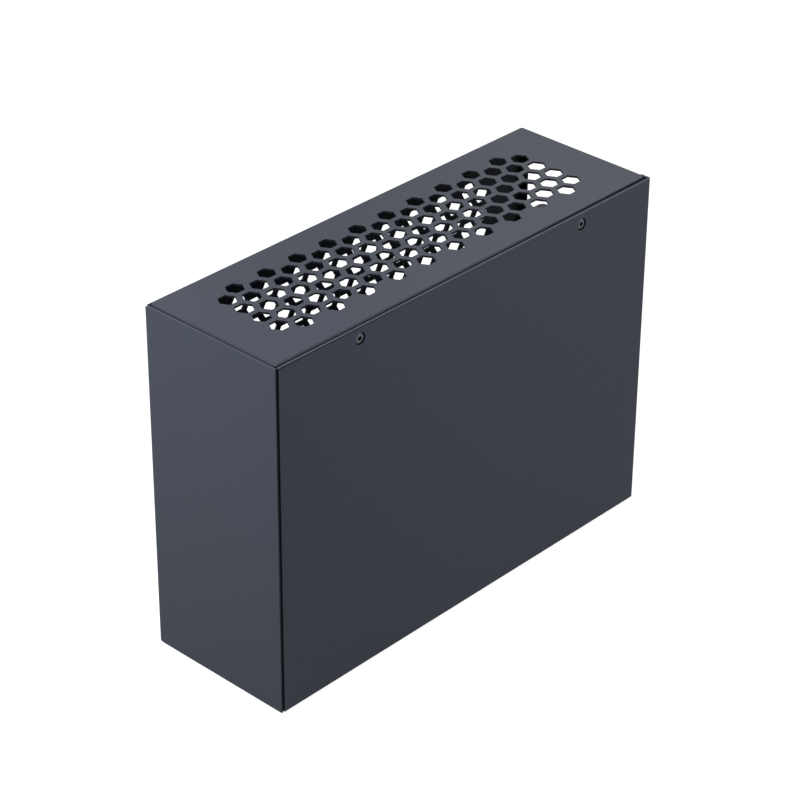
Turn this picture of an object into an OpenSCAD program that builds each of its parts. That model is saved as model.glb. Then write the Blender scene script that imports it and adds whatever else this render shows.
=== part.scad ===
/* [Case] */
// Length of the case, from the closed end to the open end
case_l = 245; // [235:1:320]
// Width of the case, from the cover's face to the vented wall
case_w = 80; // [76:1:110]
// Height of the folded case, without its feet
case_h = 176; // [170:1:220]
// Thickness of the steel sheet
sheet_t = 1; // [0.8:0.1:1.5]
// Inside radius of the bends
bend_r = 0.4; // [0.3:0.1:1.2]
// Gap between sheets that lie beside each other
sheet_gap = 0.8; // [0.3:0.1:1]
// Radius of the closed end's corners at the vented wall
corner_r = 2.5; // [2:0.1:4]
// Width of the flanges behind the cover
flange_w = 12; // [10:0.5:16]
// Width of the narrow returns round the open end
return_w = 5.2; // [4:0.2:8]

/* [Vents] */
// Width of a hexagonal hole across its flats
hex_af = 8; // [6:0.5:9]
// Distance from one column of holes to the next
hex_column = 9.5; // [9:0.25:12]
// Distance from one hole to the next in a column
hex_row = 10.5; // [9.5:0.25:14]
// Least plain border along the long edges of a vent
vent_side = 13; // [12:0.5:20]
// Least plain border at the ends of a vent
vent_end = 22; // [15:0.5:40]
// How far the top vent lies behind the middle of the case
top_vent_back = 1.4; // [0:0.1:2]
// How far the wall vent lies towards the closed end
wall_vent_left = 1.5; // [0:0.5:6]
// How far the wall vent lies below the middle of the case
wall_vent_down = 1.1; // [0:0.1:2]

/* [Cover] */
// Thickness of the cover sheet
cover_t = 1.2; // [0.8:0.1:1.5]
// Gap between the cover and the flanges behind it
cover_gap = 1; // [0.3:0.1:1.2]
// Distance of the cover's edge from the outside of the closed end
cover_edge = 1.6; // [1.6:0.1:2.2]
// Distance of the cover screws from the ends of the case
cover_screw_end = 50; // [30:1:80]
// Distance of the cover screws below the top
cover_screw_drop = 5.7; // [5.5:0.1:7]
// Length of a cover screw under its face
cover_screw_l = 5; // [5:0.5:8]
// Width of a hook on the cover's lower edge
hook_w = 20; // [10:1:40]
// Distance of the hooks from the ends of the case
hook_end = 45; // [30:1:80]
// Length of a hook's tongue behind the flange
hook_tongue = 6; // [4:0.5:8]
// Height of a hook's leaf, which is welded to the cover
hook_leaf = 10; // [8:0.5:14]

/* [Screws] */
// Diameter of a countersunk head
csk_d = 5.8; // [5.5:0.1:6]
// Diameter of a pan head
pan_d = 5.6; // [5:0.1:6]
// Height of a pan head
pan_h = 1.9; // [1.5:0.1:2.1]
// Width of the hexagonal key hole in a head
key_af = 2; // [1.5:0.1:2.2]

/* [Feet] */
// Diameter of a rubber foot
foot_d = 10; // [8:0.5:14]
// Height of a rubber foot
foot_h = 2.5; // [2.4:0.1:4]
// Distance of a foot's centre from the edges of the case
foot_inset = 13; // [10:0.5:20]

/* [Card] */
// Distance of the card's slot from the cover's face
slot_from_front = 28; // [26:0.5:32]
// Number of card slots in the bracket post
slot_count = 2; // [1:1:2]
// Height of the card's tab above the dock board
tab_height = 112.75; // [100:0.05:120]
// Width of a window for the card's ports
window_w = 12.06; // [10:0.01:14]
// Height of a window for the card's ports
window_h = 89.9; // [70:0.1:95]
// Distance from the shelf down to the windows
window_drop = 12; // [8:0.5:16]
// Thickness of the bracket post
post_t = 1.2; // [1:0.1:1.6]
// Distance of the bracket post from the open end
post_setback = 11.5; // [11:0.5:16]
// Depth of the post's side returns
post_return = 7; // [5:0.5:9]
// Length of the post's foot under the board
post_foot = 20; // [16:1:30]

/* [Dock board] */
// Length of the dock board
board_l = 150; // [145:1:170]
// Width of the dock board
board_w = 66; // [64:1:68]
// Thickness of the dock board
board_t = 1.6; // [1.2:0.1:2]
// Distance from the card's slot to the front edge of the board
board_front = 23; // [22:0.5:24]
// Gap between the board and the bracket post
board_gap = 2; // [1.5:0.5:4]
// Height of the standoffs
standoff_h = 25; // [20:1:30]
// Width of a standoff across its flats
standoff_af = 5; // [5:0.5:6]
// Distance of the board screws from the board's edges
board_hole_inset = 4; // [3.5:0.5:5]
// Distance of the middle board screws from the board's inner end
board_mid_hole = 46; // [42:1:48]
// Distance of the outer board screws from the board's outer end
board_outer_hole = 28; // [24:1:32]

/* [Card socket] */
// Length of the card socket
socket_l = 89; // [85:0.5:92]
// Width of the card socket
socket_w = 7.5; // [7:0.1:8.5]
// Height of the card socket
socket_h = 11.25; // [10:0.05:12]
// Width of the groove for the card's edge
groove_w = 1.8; // [1.7:0.05:2]
// Distance from the bracket post to the card socket
socket_setback = 43; // [42:0.5:46]

/* [Power and ports] */
// Number of terminals in a row of the power socket
terminal_columns = 12; // [10:1:12]
// Height of the power socket
power_socket_h = 12.8; // [11:0.1:14]
// Width across a port's long side
port_w = 8.94; // [8.5:0.01:9.5]
// Width across a port's short side
port_t = 3.26; // [3:0.01:3.6]
// Depth of a port
port_depth = 8; // [7:0.5:10]
// How far the power button travels
button_travel = 1.5; // [1:0.1:2]
// Width of the square power button
button_w = 3.4; // [3:0.1:4]

/* [Hidden] */
$fn = 48;

// Colours of the finishes
black_coat = "#2b2d33";
rubber_black = "#1b1b1c";
black_zinc = "#3a3b3d";
bright_zinc = "#b9bcc0";
brass_tone = "#c8a24a";
board_black = "#16201c";
plastic_black = "#1e1f21";
port_steel = "#9fa3a8";
fin_grey = "#3c4046";
lamp_white = "#e8e8e0";

// Outside of the case
x0 = -case_l / 2;
x1 = case_l / 2;
y0 = -case_w / 2;
y1 = case_w / 2;
z0 = foot_h;
z1 = foot_h + case_h;

// Sheet and bends
bend_out = bend_r + sheet_t;
floor_z = z0 + sheet_t;
flange_y = y0 + cover_t + cover_gap;
flange_in_y = flange_y + sheet_t;
flat_y0 = flange_y + bend_out;
flat_y1 = y1 - bend_out;
flat_z0 = z0 + bend_out;
flat_z1 = z1 - bend_out;
tab_x0 = x0 + sheet_t + sheet_gap;
flat_x0 = tab_x0 + bend_out;
flat_x1 = x1 - bend_out;
corner_inset = 0.2;
corner_gap = 0.4;
corner_slit = 0.4;
end_set = 0.4;
cover_top = 0.1;

// Screws and their fits, for M3 threads
screw_r = 1.5;
thread_fit = 0.05;
thread_end = 0.4;
hole_r = screw_r + 0.15;
head_fit = 0.1;
head_edge = 0.7;
key_depth = 1.1;
csk_depth = csk_d / 2 - screw_r;
csk_sunk = 0.3;
cover_screw_x = case_l / 2 - cover_screw_end;
cover_screw_z = z1 - cover_screw_drop;
nut_r = 3.1;
nut_h = 1.6;
nut_shank_r = 2.4;
nut_mouth = 0.6;
key_r = key_af / 2 / cos(30);
hook_gap = 0.3;

// Card slots, to the standard of expansion cards
slot_pitch = 20.32;
bracket_offset = 6.35;

// Bracket post
slot_y = y0 + slot_from_front;
shelf_inset = 0.5;
tab_hole_out = 5;
post_x = x1 - post_setback;
board_top = floor_z + standoff_h + board_t;
shelf_z = board_top + tab_height;
post_y0 = slot_y + bracket_offset - slot_pitch / 2;
post_y1 = post_y0 + slot_count * slot_pitch;
post_bend = bend_r + post_t;
shelf_l = post_setback - shelf_inset;
side_play = 4;
shelf_corner = 3;
tab_hole_x = post_x + tab_hole_out;
post_screw_end = 6;
post_screw_x = post_x - post_foot + post_screw_end;
post_screw_y = 10;
post_screw_l = 4.5;

// Dock board
board_x1 = post_x - post_t - board_gap;
board_x0 = board_x1 - board_l;
board_y0 = slot_y - board_front;
board_y1 = board_y0 + board_w;
board_z = board_top - board_t;
board_screw_l = 6;
standoff_bore = 9;
clinch_r = 1.9;

// Card socket and its latch
socket_x1 = post_x - socket_setback;
socket_x0 = socket_x1 - socket_l;
groove_end = 2;
key_from_end = 14;
key_w = 1.6;
groove_floor = 2.8;
ear_l = 9;
ear_t = 1.4;
ear_over_pivot = 3;
pivot_rise = 4.2;
latch_w = 5.2;
pivot_r = 1;
pivot_fit = 0.06;
pivot_x = socket_x0 - ear_l + ear_over_pivot + pivot_r;
pivot_z = board_top + pivot_rise;
latch_hub = 3.2;
latch_play = 0.4;
latch_rise = 5;
latch_top = board_top + socket_h + latch_rise;
nose_reach = 1.5;
nose_t = 1.5;
tail_l = 4;
tail_t = 1.6;

// Power socket, ports, button and lamp on the front strip of the board
terminal_pitch = 4.2;
socket_wall = 0.7;
power_socket_w = 2 * (terminal_pitch + socket_wall);
power_socket_l = terminal_columns * terminal_pitch + 2 * socket_wall;
power_socket_end = 40;
power_socket_inset = 5.5;
power_socket_x = board_x1 - power_socket_end - power_socket_l / 2;
power_socket_y = board_y0 + power_socket_inset + power_socket_w / 2;
cavity_w = 3.6;
cavity_depth = 9.5;
terminal_w = 1.1;
terminal_sunk = 2.5;
ramp_w = 6;
ramp_z = board_top + 6;
ramp_h = 4;
ramp_out = 1.4;
port_wall = 0.3;
port_back = 1;
port_tongue_t = 0.7;
port_tongue_w = 6.6;
port_step = 7;
port_inset = 3.6;
port_out = 0.8;
port_lift = 0.6;
port_y = board_y0 + port_inset;
port_x1 = board_x1 + port_out;
port_z = board_top + port_w / 2 + port_lift;
switch_w = 6.6;
switch_l = 7;
switch_side = 5.4;
switch_y = port_y + port_step + switch_side;
switch_z = board_top + switch_w / 2;
button_fit = 0.15;
button_in = 2.5;
button_out = 4.5;
button_edge = 0.4;
lamp_r = 0.9;
lamp_base = [2, 2.4, 1];
lamp_inset = 2.4;
lamp_x = board_x1 - lamp_inset;
lamp_y = board_y1 - lamp_inset;

// Controller, its heatsink and the power parts on the rear of the board
heatsink_w = 32;
heatsink_h = 9;
heatsink_base = 2.5;
fin_t = 1;
fin_count = 9;
chip_w = 18;
chip_h = 1.4;
rear_mid_y = (slot_y + socket_w / 2 + board_y1) / 2;
heatsink_end = 55;
heatsink_x = board_x1 - heatsink_end;
heatsink_pin = 13;
pin_r = 1.4;
pin_fit = 0.2;
pin_head_r = 2.8;
pin_head_h = 1.2;
pin_barb = 2.3;
pin_corner = 4.5;
coil_w = 7;
coil_h = 4;
coil_count = 4;
coil_step = 9;
coil_end = 17;
coil_side = 13;
coil_x = board_x0 + coil_end;
coil_y = board_y1 - coil_side;
coil_edge = 1;
cap_r = 3.15;
cap_h = 6.5;
cap_base = 1;
cap_base_w = 2 * cap_r + 0.4;
cap_step = 11;
cap_y = coil_y - cap_step;
transistor = [5, 6, 1];
transistor_step = 8;
transistor_y = cap_y - transistor_step;

// A quarter of a ring in the first quadrant: a bend seen from its end
module elbow(inner, thick) {
    intersection() {
        difference() {
            circle(inner + thick);
            circle(inner);
        }
        square(inner + thick);
    }
}

// A bend that runs along X, Y or Z from a to b, turned by quarter turns about its line
module bend_along_x(a, b, turns, inner = bend_r, thick = sheet_t) {
    translate([a, 0, 0]) rotate([90, 0, 90]) linear_extrude(b - a) rotate(turns * 90) elbow(inner, thick);
}

module bend_along_y(a, b, turns, inner = bend_r, thick = sheet_t) {
    translate([0, b, 0]) rotate([90, 0, 0]) linear_extrude(b - a) rotate(turns * 90) elbow(inner, thick);
}

module bend_along_z(a, b, turns, inner = bend_r, thick = sheet_t) {
    translate([0, 0, a]) linear_extrude(b - a) rotate(turns * 90) elbow(inner, thick);
}

// A box given by its lowest and highest corners
module block(low, high) {
    translate(low) cube(high - low);
}

// How many holes fit beside each other in a length, with a border at both ends
function holes_in(length, border, size, step) = floor((length - 2 * border - size) / step) + 1;

// Staggered hexagons: even columns hold one hole less, and the first and last columns are short
module hex_field(length, width) {
    across = hex_af / cos(30);
    half_columns = floor((length / 2 - vent_end - across / 2) / hex_column);
    rows = holes_in(width, vent_side, hex_af, hex_row);
    for (i = [-half_columns:half_columns]) {
        short = (i + half_columns) % 2 == 0 ? 1 : 0;
        for (j = [0:rows - 1 - short])
            translate([i * hex_column, (j - (rows - 1 - short) / 2) * hex_row]) circle(across / 2, $fn = 6);
    }
}

module top_sheet() {
    translate([0, 0, z1 - sheet_t]) linear_extrude(sheet_t) difference() {
        translate([flat_x0, flat_y0]) square([flat_x1 - flat_x0, flat_y1 - flat_y0]);
        translate([0, top_vent_back]) hex_field(case_l, case_w);
    }
}

module vented_wall() {
    wall_x0 = x0 + bend_out;
    translate([0, y1, 0]) rotate([90, 0, 0]) linear_extrude(sheet_t) difference() {
        translate([wall_x0, flat_z0]) square([flat_x1 - wall_x0, flat_z1 - flat_z0]);
        translate([-wall_vent_left, (z0 + z1) / 2 - wall_vent_down]) hex_field(case_l, case_h);
    }
}

module floor_sheet() {
    translate([0, 0, z0]) linear_extrude(sheet_t) difference() {
        translate([flat_x0, flat_y0]) square([flat_x1 - flat_x0, flat_y1 - flat_y0]);
        at_standoffs() circle(clinch_r);
        at_post_screws() circle(hole_r);
    }
}

// Outline of the closed end, seen along X: its corners at the vented wall are rounded
module end_outline() {
    translate([y0, z0]) square([case_w - corner_r, case_h]);
    translate([y1 - corner_r, z0 + corner_r]) square([corner_r, case_h - 2 * corner_r]);
    for (z = [z0 + corner_r, z1 - corner_r]) translate([y1 - corner_r, z]) circle(corner_r);
}

// The closed end stands beside the cover with its cut edge, and its other edge is bent into the wall
module closed_end() {
    intersection() {
        union() {
            block([x0, y0 + end_set, z0], [x0 + sheet_t, flat_y1, z1]);
            // Bend into the vented wall
            translate([x0 + bend_out, flat_y1, 0]) bend_along_z(z0, z1, 1);
        }
        translate([x0, 0, 0]) rotate([90, 0, 90]) linear_extrude(bend_out) end_outline();
    }
}

// What the top and the floor share: the bend into the wall, the end tabs and the front flange
module edge_folds() {
    flange_x1 = x1 - cover_t - sheet_gap;
    return_y0 = y0 + return_w + sheet_gap;
    tab_y1 = flat_y1 - corner_slit;
    translate([0, flat_y1, flat_z1]) bend_along_x(tab_x0, flat_x1, 0);
    // Front flange behind the cover
    translate([0, flat_y0, flat_z1]) bend_along_x(flat_x0, flange_x1, 1);
    block([flat_x0, flange_y, z1 - flange_w], [flange_x1, flange_in_y, flat_z1]);
    // Tab inside the closed end
    translate([flat_x0, 0, flat_z1]) bend_along_y(flat_y0, tab_y1, 1);
    block([tab_x0, flat_y0, z1 - flange_w], [tab_x0 + sheet_t, tab_y1, flat_z1]);
    // Flat corner between the tab and the front flange
    block([tab_x0, flange_y, z1 - sheet_t], [flat_x0, flat_y0, z1]);
    // Narrow return at the open end
    translate([flat_x1, 0, flat_z1]) bend_along_y(return_y0, flat_y1, 0);
    block([x1 - sheet_t, return_y0, z1 - return_w], [x1, flat_y1, flat_z1]);
    // Flat corner over the cover's return
    block([flat_x1, flat_y0, z1 - sheet_t], [x1 - corner_inset, return_y0 - sheet_gap / 2, z1]);
}

// The wall's return at the open end, between those of the top and the floor
module wall_return() {
    low = z0 + return_w + sheet_gap;
    high = z1 - return_w - sheet_gap;
    translate([flat_x1, flat_y1, 0]) bend_along_z(low, high, 0);
    block([x1 - sheet_t, y1 - return_w, low], [x1, flat_y1, high]);
}

module main_shell() {
    color(black_coat) difference() {
        union() {
            top_sheet();
            vented_wall();
            floor_sheet();
            closed_end();
            wall_return();
            edge_folds();
            translate([0, 0, z0 + z1]) mirror([0, 0, 1]) edge_folds();
        }
        // Holes for the clinch nuts in the top flange
        at_cover_screws() cylinder(r = nut_shank_r + thread_fit, h = flange_in_y - y0 + 1);
    }
}

// Puts its children at each cover screw, with +Z pointing into the case from the cover's face
module at_cover_screws() {
    for (side = [-1, 1])
        translate([side * cover_screw_x, y0, cover_screw_z]) rotate([-90, 0, 0]) children();
}

module side_cover() {
    bend_x = x1 - bend_r - cover_t;
    bend_y = y0 + bend_r + cover_t;
    fold_z0 = z0 + cover_top;
    fold_z1 = z1 - cover_top;
    under = sheet_t + corner_gap;
    color(black_coat) difference() {
        union() {
            block([x0 + cover_edge, y0, fold_z0], [bend_x, y0 + cover_t, fold_z1]);
            // Return at the open end, full height in front of the top sheet and cut down under it
            translate([bend_x, bend_y, 0]) bend_along_z(fold_z0, fold_z1, 3, bend_r, cover_t);
            block([x1 - cover_t, bend_y, fold_z0], [x1, flat_y0 - corner_gap, fold_z1]);
            block([x1 - cover_t, flat_y0 - corner_gap, z0 + under], [x1, y0 + return_w, z1 - under]);
        }
        at_cover_screws() {
            translate([0, 0, csk_sunk]) cylinder(r1 = csk_d / 2 + head_fit, r2 = hole_r, h = csk_depth);
            translate([0, 0, -1]) cylinder(r = csk_d / 2 + head_fit, h = csk_sunk + 1);
            cylinder(r = hole_r, h = cover_t + 1);
        }
    }
}

module cover_screws() {
    color(black_zinc) at_cover_screws() difference() {
        rotate_extrude() polygon([
            [0, csk_sunk], [csk_d / 2, csk_sunk], [screw_r, csk_sunk + csk_depth],
            [screw_r, cover_screw_l - thread_end], [screw_r - thread_end, cover_screw_l], [0, cover_screw_l]
        ]);
        cylinder(r = key_r, h = csk_sunk + key_depth, $fn = 6);
    }
}

module cover_nuts() {
    shank_z = flange_y - y0;
    face_z = flange_in_y - y0;
    color(bright_zinc) at_cover_screws() difference() {
        union() {
            translate([0, 0, shank_z]) cylinder(r = nut_shank_r, h = sheet_t);
            translate([0, 0, face_z]) cylinder(r = nut_r, h = nut_h);
        }
        translate([0, 0, shank_z - 1]) cylinder(r = screw_r + thread_fit, h = sheet_t + nut_h + 2);
        // Mouth that clears the screw's countersunk head
        translate([0, 0, shank_z])
            cylinder(r1 = screw_r + thread_fit + nut_mouth, r2 = screw_r + thread_fit, h = nut_mouth);
    }
}

// Spot-welded hooks: a leaf on the cover, a slanted step over the lower flange and a tongue behind it
module cover_hooks() {
    leaf_y = y0 + cover_t;
    crest_z = z0 + flange_w + hook_gap;
    tongue_y = flange_in_y + hook_gap;
    joggle = tongue_y - leaf_y;
    mitre = sheet_t * tan(22.5);
    color(bright_zinc) for (side = [-1, 1])
        translate([side * (case_l / 2 - hook_end) - hook_w / 2, 0, crest_z]) rotate([90, 0, 90])
            linear_extrude(hook_w) polygon([
                [leaf_y, joggle + hook_leaf], [leaf_y, joggle], [tongue_y, 0], [tongue_y, -hook_tongue],
                [tongue_y + sheet_t, -hook_tongue], [tongue_y + sheet_t, mitre],
                [leaf_y + sheet_t, joggle + mitre], [leaf_y + sheet_t, joggle + hook_leaf]
            ]);
}

module rubber_feet() {
    edge = 0.6;
    draft = 0.3;
    color(rubber_black) for (sx = [-1, 1], sy = [-1, 1])
        translate([sx * (case_l / 2 - foot_inset), sy * (case_w / 2 - foot_inset), 0])
            rotate_extrude() polygon([
                [0, 0], [foot_d / 2 - draft - edge, 0], [foot_d / 2 - draft, edge],
                [foot_d / 2, foot_h], [0, foot_h]
            ]);
}

// The folded post that carries the card's brackets: foot, upright with windows and tab shelf
module bracket_post() {
    inner_x = post_x - post_t;
    upright_z0 = floor_z + post_bend;
    upright_z1 = shelf_z - post_bend;
    side_z0 = board_top + side_play;
    side_z1 = upright_z1 - side_play;
    color(black_coat) difference() {
        union() {
            block([inner_x, post_y0, upright_z0], [post_x, post_y1, upright_z1]);
            // Foot on the floor
            translate([inner_x - bend_r, 0, floor_z + post_bend])
                bend_along_y(post_y0, post_y1, 3, bend_r, post_t);
            block([post_x - post_foot, post_y0, floor_z], [inner_x - bend_r, post_y1, floor_z + post_t]);
            // Shelf for the cards' tabs
            translate([post_x + bend_r, 0, shelf_z - post_bend])
                bend_along_y(post_y0, post_y1, 1, bend_r, post_t);
            translate([0, 0, shelf_z - post_t]) linear_extrude(post_t) shelf_outline();
            // Side returns that stiffen the upright
            for (edge = [0, 1])
                translate([0, edge ? post_y1 : post_y0, 0]) mirror([0, edge, 0])
                    post_side(inner_x, side_z0, side_z1);
        }
        at_windows() cube([post_t + 2, window_w, window_h]);
        at_tab_holes() cylinder(r = screw_r, h = post_t + 2);
        translate([0, 0, floor_z - 1]) linear_extrude(post_t + 2)
            at_post_screws() circle(screw_r + thread_fit);
    }
}

module shelf_outline() {
    x_in = post_x + bend_r;
    x_out = post_x + shelf_l;
    translate([x_in, post_y0]) square([shelf_l - bend_r - shelf_corner, post_y1 - post_y0]);
    translate([x_in, post_y0 + shelf_corner])
        square([shelf_l - bend_r, post_y1 - post_y0 - 2 * shelf_corner]);
    for (y = [post_y0 + shelf_corner, post_y1 - shelf_corner])
        translate([x_out - shelf_corner, y]) circle(shelf_corner);
}

// One return along the upright's edge at y = 0, which turns towards the open end
module post_side(inner_x, low, high) {
    translate([post_x + bend_r, 0, low])
        linear_extrude(high - low) {
            translate([0, -bend_r]) rotate(90) elbow(bend_r, post_t);
            square([post_return - bend_r, post_t]);
        }
}

module at_windows() {
    for (i = [0:slot_count - 1])
        translate([
            post_x - post_t - 1,
            slot_y + bracket_offset + i * slot_pitch - window_w / 2,
            shelf_z - window_drop - window_h
        ]) children();
}

module at_tab_holes() {
    for (i = [0:slot_count - 1])
        translate([tab_hole_x, slot_y + bracket_offset + i * slot_pitch, shelf_z - post_t - 1]) children();
}

module at_post_screws() {
    for (side = [-1, 1]) translate([post_screw_x, (post_y0 + post_y1) / 2 + side * post_screw_y]) children();
}

// A pan-head screw with its seat at z = 0, its head above and its thread below
module pan_screw(length) {
    difference() {
        rotate_extrude() polygon([
            [0, -length], [screw_r - thread_end, -length], [screw_r, thread_end - length], [screw_r, 0],
            [pan_d / 2, 0], [pan_d / 2, pan_h - head_edge], [pan_d / 2 - head_edge, pan_h], [0, pan_h]
        ]);
        translate([0, 0, pan_h - key_depth]) cylinder(r = key_r, h = key_depth + 1, $fn = 6);
    }
}

module post_screws() {
    color(black_zinc) translate([0, 0, z0]) at_post_screws() mirror([0, 0, 1]) pan_screw(post_screw_l);
}

// Places of the board's fixing holes: three along each long side
module at_standoffs() {
    xs = [board_x0 + board_hole_inset, board_x0 + board_mid_hole, board_x1 - board_outer_hole];
    ys = [board_y0 + board_hole_inset, board_y1 - board_hole_inset];
    for (x = xs, y = ys) translate([x, y]) children();
}

module dock_board() {
    color(board_black) translate([0, 0, board_z]) linear_extrude(board_t) difference() {
        translate([board_x0, board_y0]) square([board_l, board_w]);
        at_standoffs() circle(hole_r);
        at_heatsink_pins() circle(pin_r + pin_fit);
    }
}

module board_standoffs() {
    color(brass_tone) at_standoffs() difference() {
        union() {
            translate([0, 0, floor_z]) cylinder(r = standoff_af / 2 / cos(30), h = standoff_h, $fn = 6);
            translate([0, 0, z0]) cylinder(r = clinch_r - thread_fit, h = sheet_t);
        }
        translate([0, 0, board_z - standoff_bore]) cylinder(r = screw_r + thread_fit, h = standoff_bore + 1);
    }
}

module board_screws() {
    color(bright_zinc) translate([0, 0, board_top]) at_standoffs() pan_screw(board_screw_l);
}

// The card socket: a long grooved housing with a key, and two ears that carry the latch
module card_socket() {
    color(plastic_black) difference() {
        union() {
            block(
                [socket_x0, slot_y - socket_w / 2, board_top],
                [socket_x1, slot_y + socket_w / 2, board_top + socket_h]
            );
            for (side = [0, 1]) translate([0, slot_y, 0]) mirror([0, side, 0]) socket_ear();
        }
        // Groove for the card's edge, with the key left standing
        groove_z = board_top + groove_floor;
        key_x = socket_x1 - key_from_end;
        block(
            [socket_x0 - 1, slot_y - groove_w / 2, groove_z],
            [key_x - key_w / 2, slot_y + groove_w / 2, board_top + socket_h + 1]
        );
        block(
            [key_x + key_w / 2, slot_y - groove_w / 2, groove_z],
            [socket_x1 - groove_end, slot_y + groove_w / 2, board_top + socket_h + 1]
        );
    }
}

module socket_ear() {
    ear_y = latch_w / 2 + latch_play;
    difference() {
        block([socket_x0 - ear_l, ear_y, board_top], [socket_x0, ear_y + ear_t, pivot_z + ear_over_pivot]);
        translate([pivot_x, 0, pivot_z]) rotate([-90, 0, 0]) cylinder(r = pivot_r + pivot_fit, h = socket_w);
    }
}

// The latch swings on its own pins between the ears; its nose reaches over the card's notch
module slot_latch() {
    back_x = pivot_x - latch_hub;
    front_x = pivot_x + latch_hub;
    nose_x = socket_x0 + nose_reach;
    pin_l = latch_w + 2 * (latch_play + ear_t - head_fit);
    color(plastic_black) translate([0, slot_y + latch_w / 2, 0]) rotate([90, 0, 0]) linear_extrude(latch_w) {
        translate([pivot_x, pivot_z]) circle(latch_hub);
        polygon([
            [back_x, pivot_z], [front_x, pivot_z], [front_x, latch_top - 2 * nose_t - 0.5],
            [nose_x, latch_top - nose_t - 1], [nose_x, latch_top - 1], [front_x - 1, latch_top],
            [back_x - tail_l, latch_top], [back_x - tail_l, latch_top - tail_t],
            [back_x, latch_top - tail_t - tail_l / 2]
        ]);
    }
    color(plastic_black) translate([pivot_x, slot_y, pivot_z]) rotate([90, 0, 0])
        cylinder(r = pivot_r, h = pin_l, center = true);
}

// Puts its children at each terminal of the power socket, at the board's face
module at_terminals() {
    for (i = [0:terminal_columns - 1], j = [0, 1])
        translate([
            power_socket_x + (i - (terminal_columns - 1) / 2) * terminal_pitch,
            power_socket_y + (j - 0.5) * terminal_pitch
        ]) children();
}

module power_socket() {
    color(plastic_black) difference() {
        union() {
            translate([power_socket_x - power_socket_l / 2, power_socket_y - power_socket_w / 2, board_top])
                cube([power_socket_l, power_socket_w, power_socket_h]);
            // Ramp that the plug's latch snaps over
            translate([power_socket_x + ramp_w / 2, power_socket_y + power_socket_w / 2, ramp_z])
                rotate([0, -90, 0]) linear_extrude(ramp_w)
                    polygon([[0, 0], [ramp_h, 0], [ramp_h, ramp_out]]);
        }
        translate([0, 0, board_top + power_socket_h - cavity_depth]) linear_extrude(cavity_depth + 1)
            at_terminals() square(cavity_w, center = true);
    }
}

module power_terminals() {
    low = board_top + power_socket_h - cavity_depth;
    color(brass_tone) translate([0, 0, low]) linear_extrude(cavity_depth - terminal_sunk)
        at_terminals() square(terminal_w, center = true);
}

// A flattened round outline, the section of a port
module port_outline(long, short) {
    square([short, long - short], center = true);
    for (side = [-1, 1]) translate([0, side * (long - short) / 2]) circle(short / 2);
}

// Two upright ports: a steel shield, closed at the back, round a contact tongue
module host_ports() {
    tongue_l = port_depth - 2 * port_back;
    color(port_steel) for (i = [0, 1])
        translate([port_x1 - port_depth, port_y + i * port_step, port_z]) rotate([90, 0, 90]) {
            difference() {
                linear_extrude(port_depth) port_outline(port_w, port_t);
                translate([0, 0, port_back]) linear_extrude(port_depth)
                    port_outline(port_w - 2 * port_wall, port_t - 2 * port_wall);
            }
            translate([0, 0, port_back]) linear_extrude(tongue_l)
                square([port_tongue_t, port_tongue_w], center = true);
            // Foot between the round shield and the board
            translate([-port_t / 2, board_top - port_z, 0]) cube([port_t, (port_w - port_t) / 2, port_back]);
        }
}

module switch_body() {
    cavity = button_w + 2 * button_fit;
    depth = button_in + button_travel + 0.5;
    color(plastic_black) difference() {
        block(
            [board_x1 - switch_l, switch_y - switch_w / 2, board_top],
            [board_x1, switch_y + switch_w / 2, board_top + switch_w]
        );
        translate([board_x1 - depth, switch_y - cavity / 2, switch_z - cavity / 2])
            cube([depth + 1, cavity, cavity]);
    }
}

module power_button() {
    stem_l = button_in + button_out - button_edge;
    color(port_steel) translate([board_x1 - button_in, switch_y, switch_z]) rotate([90, 0, 90]) {
        linear_extrude(stem_l) square(button_w, center = true);
        translate([0, 0, stem_l]) linear_extrude(button_edge)
            square(button_w - 2 * button_edge, center = true);
    }
}

module status_lamp() {
    color(lamp_white) translate([lamp_x, lamp_y, board_top]) {
        translate([-lamp_base[0] / 2, -lamp_base[1] / 2, 0]) cube(lamp_base);
        translate([0, 0, lamp_base[2]]) cylinder(r1 = lamp_r, r2 = lamp_r * 0.7, h = lamp_r / 2);
    }
}

module at_heatsink_pins() {
    for (side = [-1, 1])
        translate([heatsink_x + side * heatsink_pin, rear_mid_y - side * heatsink_pin]) children();
}

module controller_chip() {
    color(plastic_black) translate([heatsink_x, rear_mid_y, board_top + chip_h / 2])
        cube([chip_w, chip_w, chip_h], center = true);
}

module controller_heatsink() {
    base_z = board_top + chip_h;
    low_x = heatsink_x - heatsink_w / 2;
    low_y = rear_mid_y - heatsink_w / 2;
    fin_step = (heatsink_w - fin_t) / (fin_count - 1);
    color(fin_grey) difference() {
        union() {
            translate([low_x, low_y, base_z]) cube([heatsink_w, heatsink_w, heatsink_base]);
            for (i = [0:fin_count - 1])
                translate([low_x, low_y + i * fin_step, base_z + heatsink_base])
                    cube([heatsink_w, fin_t, heatsink_h - heatsink_base]);
        }
        // Cleared corners for the push pins
        at_heatsink_pins() {
            translate([0, 0, base_z + heatsink_base]) cylinder(r = pin_corner, h = heatsink_h);
            translate([0, 0, base_z - 1]) cylinder(r = pin_r + pin_fit, h = heatsink_base + 2);
        }
    }
}

module heatsink_pins() {
    seat_z = board_top + chip_h + heatsink_base;
    tip_z = board_z - pin_barb - pin_fit;
    color(plastic_black) at_heatsink_pins() {
        translate([0, 0, seat_z]) cylinder(r = pin_head_r, h = pin_head_h);
        translate([0, 0, tip_z]) cylinder(r = pin_r, h = seat_z - tip_z);
        translate([0, 0, tip_z]) cylinder(r1 = pin_r, r2 = 1.5 * pin_r, h = pin_barb);
    }
}

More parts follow.
